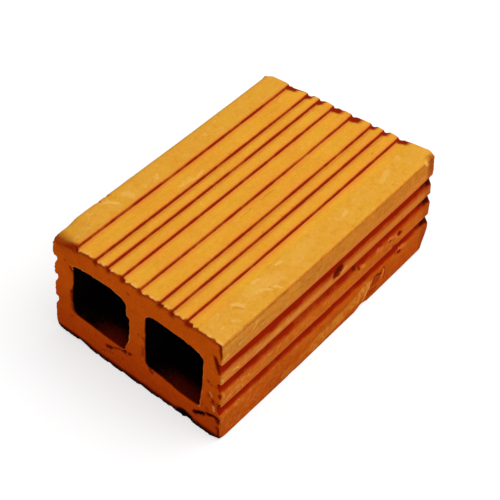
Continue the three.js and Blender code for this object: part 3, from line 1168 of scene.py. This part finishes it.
def press_column(section, settings, clay):
    """Runs the column's nodes on the flat section and returns a plain mesh."""
    size = settings.size
    wear = settings.wear
    carrier = bpy.data.objects.new("die_section", section)
    bpy.context.scene.collection.objects.link(carrier)
    modifier = carrier.modifiers.new("Pressed clay column", "NODES")
    modifier.node_group = column_tree()
    values = {
        "Rings": size.rings,
        "End Crowding": size.crowding,
        "Cell Rings": size.cell_rings,
        "Cell Crowding": size.cell_crowding,
        "Near Cut": (NEAR_CUT[0] * MM, *NEAR_CUT[1:]),
        "Far Cut": (FAR_CUT[0] * MM, *FAR_CUT[1:]),
        "Half Width": size.width / 2,
        "Height": size.height,
        "Slump": size.slump,
        "Bow": size.bow,
        "Ripple": wear.ripple,
        "Ripple Size": wear.ripple_size,
        "Grain": wear.grain,
        "Grain Size": wear.grain_size,
        "Seed": float(wear.seed),
        "Clay": clay,
    }
    for socket in modifier.node_group.interface.items_tree:
        if socket.name in values:
            modifier[socket.identifier] = values[socket.name]
    graph = bpy.context.evaluated_depsgraph_get()
    pressed = bpy.data.meshes.new_from_object(
        carrier.evaluated_get(graph), preserve_all_data_layers=True, depsgraph=graph
    )
    bpy.data.objects.remove(carrier)
    if len(pressed.polygons) < 1000:
        raise RuntimeError("the clay column came out empty")
    return pressed


def turn_faces_out(mesh):
    """Makes every face of the closed brick point outwards."""
    shell = bmesh.new()
    shell.from_mesh(mesh)
    bmesh.ops.recalc_face_normals(shell, faces=shell.faces)
    open_edges = sum(1 for edge in shell.edges if len(edge.link_faces) != 2)
    shell.to_mesh(mesh)
    shell.free()
    if open_edges:
        raise RuntimeError(f"the brick has {open_edges} open edges")


# ---------------------------------------------------------------- finishes and painted light

# Painted light that makes the ramps of the bed grooves lighter: red, green, blue
RAMP_PAINTED_LIGHT = (1.22, 1.32, 1.2)

# How far the outlines of painted marks wander, in metres
MARK_SHAKE = 0.0026


def linear(red, green, blue):
    """A colour written in 0..255 screen values, as Blender's linear colour."""
    shares = [value / 255 for value in (red, green, blue)]
    return tuple(s / 12.92 if s <= 0.04045 else ((s + 0.055) / 1.055) ** 2.4 for s in shares)


def clear_tree(owner):
    """The node tree of a new material or world, without the nodes it starts with."""
    owner.use_nodes = True
    owner.node_tree.nodes.clear()
    return owner.node_tree


def blend(amount, first, second, mode="MIX"):
    """A colour mix; a Mix node's sockets share their names, so its colour ones are numbered here."""
    inputs = {0: amount, 6: first, 7: second}
    return result(amount.tree, "ShaderNodeMix", inputs, 2, data_type="RGBA", blend_type=mode)


def attribute_value(tree, name):
    """A number that the mesh carries at each point."""
    return result(tree, "ShaderNodeAttribute", output="Fac", attribute_name=name)


def mapped(place, scale, tilt=0.0, kind="POINT"):
    """A place stretched along the axes, and tilted in the plane of the long faces."""
    inputs = {"Vector": place, "Rotation": (0, tilt, 0), "Scale": scale}
    return result(place.tree, "ShaderNodeMapping", inputs, vector_type=kind)


def stroke_tree():
    """Shader nodes: how far a place lies under one straight stroke, from 0 to 1."""
    inputs = [(name, "Vector") for name in ("Place", "Start", "End")]
    inputs += [(name, "Float") for name in ("Reach", "Strength")]
    tree, given = new_tree("Stroke", "ShaderNodeTree", inputs, ("Cover", "Float"))
    place, start, end, reach, strength = given.values()
    run = end.vector("SUBTRACT", start)
    away = place.vector("SUBTRACT", start)
    span = run.vector("DOT_PRODUCT", run).math("MAXIMUM", 1e-9)
    along = away.vector("DOT_PRODUCT", run) / span
    along = along.math("MAXIMUM", 0.0).math("MINIMUM", 1.0)
    gap = away.vector("DISTANCE", run.vector("SCALE", None, None, along))
    cover = (gap / reach).stretch(0.5, 1.25, 1.0, 0.0) * strength
    node(tree, "NodeGroupOutput", [cover])
    return tree


def paint_marks(place, shake, surface, fitting):
    """Draws the listed marks of one surface, and returns how far each finish covers the place."""
    axes = PAINTED[surface]
    flat = place.vector("ADD", shake).vector("MULTIPLY", axes)
    stroke = stroke_tree()
    cover = {}
    for line, half_width, _, finish, strength in MARKS[surface]:
        stops = [(a * MM, b * axes[1] * MM, b * axes[2] * MM) for a, b in line]
        for start, end in zip(stops, stops[1:] or stops):
            inputs = (flat, start, end, half_width * MM, strength)
            drawn = result(place.tree, "ShaderNodeGroup", inputs, node_tree=stroke)
            cover[finish] = drawn.math("MAXIMUM", cover.get(finish, 0.0))
    # Painted shade in a hollow darkens the clay round it too
    if "hollow" in cover:
        cover["raw"] = (cover["hollow"] * 1.6).math("MAXIMUM", cover.get("raw", 0.0))
    return {finish: value * fitting for finish, value in cover.items()}


def clay_material(colours):
    """Fired clay: ochre beds, redder sides and ends, painted shade in the scoring and hollows, raw breaks,
    pale scuffs and painted highlights.
    """
    material = bpy.data.materials.new("fired_clay")
    tree = clear_tree(material)
    place = result(tree, "ShaderNodeTexCoord", output="Object")
    x, y, z = place.split()
    end_face = attribute_value(tree, "end_face")
    long_face = attribute_value(tree, "long_face")

    # Patterns, by their scale per metre, detail, roughness and seed. Places below are in metres.
    broad = noise_field(place, 38, 3, 0.55, 1.0)
    middle = noise_field(place, 150, 4, 0.6, 2.0)
    fine = noise_field(place, 620, 4, 0.65, 3.0)
    drag = noise_field(mapped(place, (0.09, 1, 1)), 420, 3, 0.6, 4.0)
    rub = mapped(place, (2.2, 1, 1), -0.47, "TEXTURE")

    # Upper and lower beds, with pinker streaks along the extrusion.
    bed = blend(drag.stretch(0.42, 0.68), colours.bed, colours.bed_pink)
    bed = blend(broad.stretch(0.35, 0.65, 0.0, 0.9), bed, colours.bed_gold)
    bed = blend(middle.stretch(0.48, 0.68, 0.0, 0.5), bed, colours.bed_pink)

    # Long faces redden downwards.
    ramp = node(tree, "ShaderNodeValToRGB")
    ramp.color_ramp.interpolation = "EASE"
    stops = ((0.0, colours.side_low), (0.42, colours.side_middle), (0.9, colours.side_high))
    for i, (position, colour) in enumerate(stops):
        stop = ramp.color_ramp.elements[i] if i < 2 else ramp.color_ramp.elements.new(position)
        stop.position = position
        stop.color = (*colour, 1)
    height = z / BRICK_HEIGHT
    join(tree, height + (broad - 0.5) * 0.25, ramp.inputs[0])
    body = blend(long_face, bed, ramp)
    end = blend(height.stretch(0.0, 0.75, 1.0, 0.0), colours.end_high, colours.end_low)
    body = blend(end_face, body, end)

    # Mottling, from broad clouds down to grains of sand, weaker on the beds.
    on_bed = long_face.math("MAXIMUM", end_face).scaled(-0.6, 0.6)
    uneven = end_face.scaled(0.3, long_face.scaled(0.6, 0.4))
    for field, dark, light in ((broad, 0.93, 1.05), (middle, 0.90, 1.07), (fine, 0.88, 1.08)):
        body = blend(uneven, body, field.grey(0.3, 0.7, dark, light), "MULTIPLY")
    side = y.math("ABSOLUTE")
    land = side.stretch(0.0362, 0.0378)
    on_land = land * on_bed
    blotch = noise_field(place, 300, 3, 0.6, 11.0, 0.6)
    uneven = on_land.scaled(0.5, long_face)
    body = blend(uneven, body, blotch.grey(0.36, 0.64, 0.94, 1.06), "MULTIPLY")

    # Dusty clouds and flecks, on the beds' outer lands and along the long faces.
    dusty = land * y.stretch(-0.004, 0.004, 1.0, 0.75) * on_bed
    dusty = x.stretch(-0.06, 0.03, 1.45, 0.9) * side.stretch(0.041, 0.047, 1.0, 0.7) * dusty
    cloud = middle.stretch(0.38, 0.64, 0.0, 0.75)
    near_end = x.stretch(-0.075, 0.0, 0.85, 0.2)
    high = z.stretch(0.010, 0.030, 0.35, 1.0)
    fleck = noise_field(rub, 700, 4, 0.7, 9.0, 1.2).stretch(0.52, 0.68)
    body = blend(on_land, body, colours.land)
    body = blend(dusty * (cloud * fleck.scaled(1.3, 0.2)), body, colours.dust)
    body = blend(long_face * near_end * fleck * high, body, colours.pale)

    # Orange patches on the outer lands, and redder blotches on the long faces.
    orange = blotch.stretch(0.53, 0.64, 0.0, 0.75) * land
    body = blend(orange * on_bed, body, colours.bed_orange)
    redder = blotch.stretch(0.50, 0.66, 0.0, 0.4) + x.stretch(-0.02, 0.05, 0.0, 0.22)
    redder = redder * (long_face * z.stretch(0.045, 0.055, 1.0, 0.35))
    body = blend(redder, body, colours.side_low)

    # Specks of sand, lighter and redder than the clay, strongest on the long faces.
    speck = noise_field(rub, 760, 3, 0.7, 13.0)
    lighter = end_face.scaled(-0.13, (long_face * high).scaled(0.34, 0.2))
    lighter = speck.stretch(0.5, 0.7) * lighter
    body = blend(lighter, body, blend(long_face, colours.dust, colours.rubbed))
    deeper = speck.stretch(0.5, 0.3) * long_face.scaled(0.25, 0.16)
    body = blend(deeper, body, colours.end_low)

    # Painted light on the ramps of the bed grooves, so that they are as light as the bed.
    body = blend(attribute_value(tree, "ramp"), body, RAMP_PAINTED_LIGHT, "MULTIPLY")

    # Painted shade in the scoring, whose lines swell and fade along the brick and are broken a little by the
    # grain.
    swell = noise_field(mapped(place, (0.35, 1, 1)), 110, 3, 0.6, 12.0) - 0.5
    scored = attribute_value(tree, "scored")
    within = scored.stretch(0.0, 0.4, 0.0, 0.9)
    shade = (middle - 0.5).scaled(within, swell.scaled(within, scored))
    lines = blend(side.stretch(0.044, 0.048), colours.bed_scored, colours.scored)
    lines = blend(drag.stretch(0.45, 0.68, 0.0, 0.5), lines, colours.bed_scored)
    body = blend(shade.math("MULTIPLY", 1.05, clamp=True), body, lines)

    # Golden patches, rubbed clay with painted highlights on crests, lips and rims, pale scuffs also with
    # painted highlights, raw breaks with painted shade, and painted shade in deep hollows.
    on_top = z.stretch(0.0622, 0.0628) * on_bed
    on_right = y.stretch(-0.047, -0.045, 1.0, 0.0) * long_face
    wobble = result(tree, "ShaderNodeTexNoise", {"Vector": place, "Scale": 480.0}, "Color")
    shake = wobble.vector("SUBTRACT", (0.5, 0.5, 0.5)).vector("MULTIPLY", (MARK_SHAKE,) * 3)
    painted = [
        paint_marks(place, shake, "top", on_top),
        paint_marks(place, shake, "right", on_right),
    ]
    ragged = (fine - 0.5).scaled(0.9, 1.15)
    patchy = blotch.stretch(0.4, 0.62, 1.4, 0.35)
    for name in ("gold", "rubbed", "pale", "raw", "hollow"):
        strength = attribute_value(tree, name)
        for cover in painted:
            if name in cover:
                strength = strength.math("MAXIMUM", cover[name])
        broken = patchy if name == "gold" else ragged
        strength = strength.math("MULTIPLY", broken, clamp=True)
        body = blend(strength, body, getattr(colours, name))

    # Relief too fine for the mesh.
    relief = noise_field(place, 1400, 3, 0.7, 6.0) * 0.35 + fine * 0.8 + drag * 0.5
    bump = node(tree, "ShaderNodeBump", {"Strength": 0.55, "Distance": 0.0004, "Height": relief})
    skin = {"Base Color": body, "Roughness": 0.88, "Specular IOR Level": 0.02, "Normal": bump}
    shader = node(tree, "ShaderNodeBsdfPrincipled", skin)
    node(tree, "ShaderNodeOutputMaterial", {"Surface": shader})
    return material


def mark_faces(mesh):
    """Writes how far each point faces an end or a long face, for the finish."""
    normals = read_values(mesh.vertex_normals, "vector", 3)
    _, y, z = read_values(mesh.vertices, "co", 3).T
    inset = read_values(mesh.attributes["inset"].data, "value")
    in_cell = read_values(mesh.attributes["in_cell"].data, "value")
    in_scoring = (np.abs(y) > 0.047) & (z > 0.006)
    across = np.maximum(np.abs(normals[:, 1]), -normals[:, 2] * in_scoring)
    end = np.maximum(smooth(np.abs(normals[:, 0]), 0.55, 0.85), smooth(inset, 0.05, 0.3))
    write_values(mesh, "long_face", smooth(across, 0.45, 0.8) * (1 - end))
    write_values(mesh, "end_face", np.maximum(end, in_cell))


# ---------------------------------------------------------------- settings


def length(name, description, default):
    """A length setting in metres."""
    return FloatProperty(
        name=name, description=description, default=default, min=0.0, unit="LENGTH", precision=5
    )


def share(name, description, default):
    """A setting from 0 to 0.9."""
    return FloatProperty(
        name=name, description=description, default=default, min=0.0, max=0.9, subtype="FACTOR"
    )


def colour(name, description, red, green, blue):
    """A colour setting, written in 0..255 screen values."""
    return FloatVectorProperty(
        name=name,
        description=description,
        default=linear(red, green, blue),
        min=0.0,
        max=1.0,
        subtype="COLOR",
    )


class BrickSize(bpy.types.PropertyGroup):
    width: length("Width", "Across the long faces, at the upper bed", 0.1014)
    height: length("Height", "Between the bed faces", BRICK_HEIGHT)
    slump: length("Slump", "How far each long face leans out at the foot", 0.0014)
    bow: length("Bow", "How far the middle of the brick bows to the right", 0.0005)
    upper_right_arris: length("Upper Right Arris", "Rounding where bed and right face meet", 0.0010)
    upper_left_arris: length("Upper Left Arris", "Rounding where bed and left face meet", 0.0034)
    lower_right_arris: length("Lower Right Arris", "Rounding along the foot of the right face", 0.0014)
    lower_left_arris: length("Lower Left Arris", "Rounding along the foot of the left face", 0.0032)
    rings: IntProperty(name="Rings", description="Steps along the outside", default=166, min=20)
    cell_rings: IntProperty(name="Cell Rings", description="Steps along the cells", default=64, min=20)
    crowding: share("End Crowding", "How much closer the outside's steps lie at the ends", 0.45)
    cell_crowding: share("Cell Crowding", "How much closer the cells' steps lie at the ends", 0.8)


class BrickScoring(bpy.types.PropertyGroup):
    bed_depth: length("Bed Groove Depth", "Depth of the scoring on the beds", 0.0014)
    lower_depth: length("Lower Groove Depth", "The same on the lower bed, pressed by its weight", 0.0007)
    face_depth: length("Face Groove Depth", "Depth of the scoring on the long faces", 0.0019)
    face_width: length("Face Groove Width", "Width of the scoring on the long faces", 0.0067)
    steep_run: length("Steep Wall Run", "How far each groove's steep wall leans", 0.0006)
    lip: length("Bed Lip Radius", "Softness of the lips of the scoring on the beds", 0.00045)
    face_lip: length("Face Lip Radius", "The same on the long faces", 0.00015)
    bed_floor: share("Bed Groove Floor", "Share of a bed groove's width that is its floor", 0.12)
    face_floor: share("Face Groove Floor", "Share of a face groove's width that is its floor", 0.36)


class BrickWear(bpy.types.PropertyGroup):
    arris: length("Arris Wear", "Rounding of the cut ends' arrises", 0.00055)
    ripple: length("Ripple", "Height of the broad unevenness", 0.0004)
    ripple_size: length("Ripple Size", "Distance across one broad ripple", 0.022)
    grain: length("Grain", "Height of the fine unevenness", 0.00014)
    grain_size: length("Grain Size", "Distance across one grain", 0.0035)
    seed: IntProperty(name="Seed", description="Which brick of the batch this is", default=3, min=0)


class BrickColours(bpy.types.PropertyGroup):
    bed: colour("Bed", "Beds as fired", 230, 157, 40)
    bed_pink: colour("Pink Streaks", "Streaks along the beds", 232, 152, 50)
    bed_gold: colour("Gold Clouds", "Yellower clouds on the beds", 228, 164, 46)
    dust: colour("Dust", "Dusty clouds on the beds' outer lands", 234, 184, 96)
    bed_orange: colour("Orange Patches", "Patches on the beds' outer lands", 216, 138, 30)
    side_high: colour("Upper Side", "Long faces near the upper bed", 224, 141, 42)
    side_middle: colour("Middle Side", "Long faces half way down", 222, 110, 20)
    side_low: colour("Lower Side", "Long faces near the foot", 197, 78, 2)
    end_high: colour("Upper End", "Cut ends near the upper bed", 234, 96, 5)
    end_low: colour("Lower End", "Cut ends near the foot", 212, 71, 3)
    # Painted shade in the scoring of the long faces and of the beds
    scored: colour("Scoring", "Shaded walls of the scoring", 160, 30, 0)
    bed_scored: colour("Bed Scoring", "The same on the beds", 136, 8, 0)
    # Raw breaks, and painted shade under arrises, along the near foot, at the far ends of the scoring and in
    # the cells
    raw: colour("Raw Break", "Clay where it is chipped", 150, 34, 3)
    land: colour("Lands", "The beds' outer lands", 219, 159, 50)
    gold: colour("Gold Patches", "Where the long faces are golden", 238, 154, 48)
    # Rubbed clay and sand specks, and painted highlights on crests, torn lips and cell rims
    rubbed: colour("Rubbed Clay", "Crests and flaps that are rubbed", 244, 138, 60)
    # Scuffs and dust, and painted highlights on torn lips and cell rims
    pale: colour("Scuff", "Clay where it is scuffed", 243, 193, 106)
    # Painted shade in pits, cracks, chips and the cells, and along the near foot
    hollow: colour("Hollow", "Pits, cracks and the insides of the cells", 10, 2, 2)


class BrickStage(bpy.types.PropertyGroup):
    floor: colour("Floor", "Colour of the floor", 178, 178, 178)
    lamp: FloatProperty(
        name="Lamp", description="Power of the overhead lamp", default=11.2, min=0.0, unit="POWER"
    )
    lamp_place: FloatVectorProperty(
        name="Lamp Place",
        description="Where the overhead lamp hangs",
        default=(0.38, -0.48, 1.1),
        subtype="TRANSLATION",
        unit="LENGTH",
    )
    lamp_size: length("Lamp Size", "Side of the square lamp", 1.1)
    ambient: FloatProperty(
        name="Ambient", description="Even light from all round", default=0.51, min=0.0
    )
    camera_place: FloatVectorProperty(
        name="Camera Place",
        description="Where the camera stands",
        default=(-0.384566, -0.282683, 0.505362),
        subtype="TRANSLATION",
        unit="LENGTH",
    )
    camera_turn: FloatVectorProperty(
        name="Camera Turn",
        description="How the camera is turned",
        default=[math.radians(turn) for turn in (44.8045, -2.5766, -51.1744)],
        subtype="EULER",
        unit="ROTATION",
    )
    lens: FloatProperty(
        name="Lens", description="Focal length", default=99.16, min=10.0, unit="CAMERA"
    )


class BrickSettings(bpy.types.PropertyGroup):
    size: PointerProperty(type=BrickSize, name="Size", description="The pressed column")
    scoring: PointerProperty(type=BrickScoring, name="Scoring", description="The grooves")
    wear: PointerProperty(type=BrickWear, name="Wear", description="Handling and firing")
    colours: PointerProperty(type=BrickColours, name="Colours", description="The fired clay")
    stage: PointerProperty(type=BrickStage, name="Stage", description="Floor, light and camera")


# ---------------------------------------------------------------- operators


class BRICK_OT_make_brick(bpy.types.Operator):
    """Presses, cuts, wears and fires the brick"""

    bl_idname = "brick.make_brick"
    bl_label = "Make Brick"

    def execute(self, context):
        settings = context.scene.brick
        clay = clay_material(settings.colours)
        section = flat_section(settings.size, settings.scoring)
        mesh = press_column(section, settings, clay)
        mesh.name = "fired_brick"
        wear_brick(mesh, settings.size, settings.wear)
        turn_faces_out(mesh)
        mark_faces(mesh)
        if not mesh.materials:
            mesh.materials.append(clay)
        brick = bpy.data.objects.new("fired_brick", mesh)
        context.scene.collection.objects.link(brick)
        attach(brick, "root")
        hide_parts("brick")
        return {"FINISHED"}


class BRICK_OT_make_stage(bpy.types.Operator):
    """Lays the floor, hangs the lamp and sets up the camera"""

    bl_idname = "brick.make_stage"
    bl_label = "Make Stage"

    def execute(self, context):
        stage = context.scene.brick.stage
        scene = context.scene
        make_floor(scene, stage)
        make_world(scene, stage)
        lamp = bpy.data.lights.new("overhead_lamp", "AREA")
        lamp.energy = stage.lamp
        lamp.size = stage.lamp_size
        hung = bpy.data.objects.new("overhead_lamp", lamp)
        hung.location = stage.lamp_place
        hung.rotation_euler = (-Vector(stage.lamp_place)).to_track_quat("-Z", "Y").to_euler()
        scene.collection.objects.link(hung)
        camera = bpy.data.cameras.new("camera")
        camera.lens = stage.lens
        camera.sensor_width = 36
        camera.clip_start = 0.01
        camera.clip_end = 20
        stand = bpy.data.objects.new("camera", camera)
        stand.location = stage.camera_place
        stand.rotation_euler = stage.camera_turn
        scene.collection.objects.link(stand)
        scene.camera = stand
        scene.view_settings.view_transform = "Standard"
        return {"FINISHED"}


def seen_apart(tree, lit, seen):
    """One shader for what the camera sees, also in reflections, and another for the rest of the light."""
    path = node(tree, "ShaderNodeLightPath").outputs
    looked_at = Value(tree, path["Is Camera Ray"])
    for name in ("Is Glossy Ray", "Is Transmission Ray"):
        looked_at = looked_at.math("MAXIMUM", path[name])
    return node(tree, "ShaderNodeMixShader", (looked_at, lit, seen))


def make_floor(scene, stage):
    """A white floor that keeps a soft shadow and sends little light back up."""
    mesh = bpy.data.meshes.new("floor")
    half = 3.0
    corners = [(-half, -half, 0), (half, -half, 0), (half, half, 0), (-half, half, 0)]
    mesh.from_pydata(corners, [], [(0, 1, 2, 3)])
    material = bpy.data.materials.new("studio_floor")
    tree = clear_tree(material)
    seen = node(tree, "ShaderNodeBsdfDiffuse", {"Color": stage.floor})
    glow = node(tree, "ShaderNodeEmission", {"Strength": 0.64})
    white = node(tree, "ShaderNodeAddShader", (seen, glow))
    dull = node(tree, "ShaderNodeBsdfDiffuse", {"Color": (0.49, 0.49, 0.49)})
    node(tree, "ShaderNodeOutputMaterial", {"Surface": seen_apart(tree, dull, white)})
    mesh.materials.append(material)
    floor = bpy.data.objects.new("floor", mesh)
    scene.collection.objects.link(floor)


def make_world(scene, stage):
    """White all round where it is seen, and an even soft light on the brick."""
    world = bpy.data.worlds.new("studio")
    tree = clear_tree(world)
    even = node(tree, "ShaderNodeBackground", {"Color": (1, 1, 1), "Strength": stage.ambient})
    white = node(tree, "ShaderNodeBackground", {"Color": (1, 1, 1), "Strength": 1.0})
    node(tree, "ShaderNodeOutputWorld", {"Surface": seen_apart(tree, even, white)})
    scene.world = world


class BRICK_PT_sidebar(bpy.types.Panel):
    """Lists the steps and the settings"""

    bl_idname = "BRICK_PT_sidebar"
    bl_label = "Fired Clay Brick"
    bl_space_type = "VIEW_3D"
    bl_region_type = "UI"
    bl_category = "Brick"

    def draw(self, context):
        settings = context.scene.brick
        layout = self.layout
        layout.operator(BRICK_OT_make_brick.bl_idname)
        layout.operator(BRICK_OT_make_stage.bl_idname)
        for group in (settings.size, settings.scoring, settings.wear, settings.colours, settings.stage):
            box = layout.box()
            for name in group.__annotations__:
                box.prop(group, name)


CLASSES = (
    BrickSize,
    BrickScoring,
    BrickWear,
    BrickColours,
    BrickStage,
    BrickSettings,
    BRICK_OT_make_brick,
    BRICK_OT_make_stage,
    BRICK_PT_sidebar,
)


def register():
    for kind in CLASSES:
        bpy.utils.register_class(kind)
    bpy.types.Scene.brick = PointerProperty(type=BrickSettings)


def unregister():
    del bpy.types.Scene.brick
    for kind in reversed(CLASSES):
        bpy.utils.unregister_class(kind)


def main():
    """Builds the brick on its stage."""
    register()
    bpy.ops.brick.make_brick()
    bpy.ops.brick.make_stage()


if __name__ == "__main__":
    main()
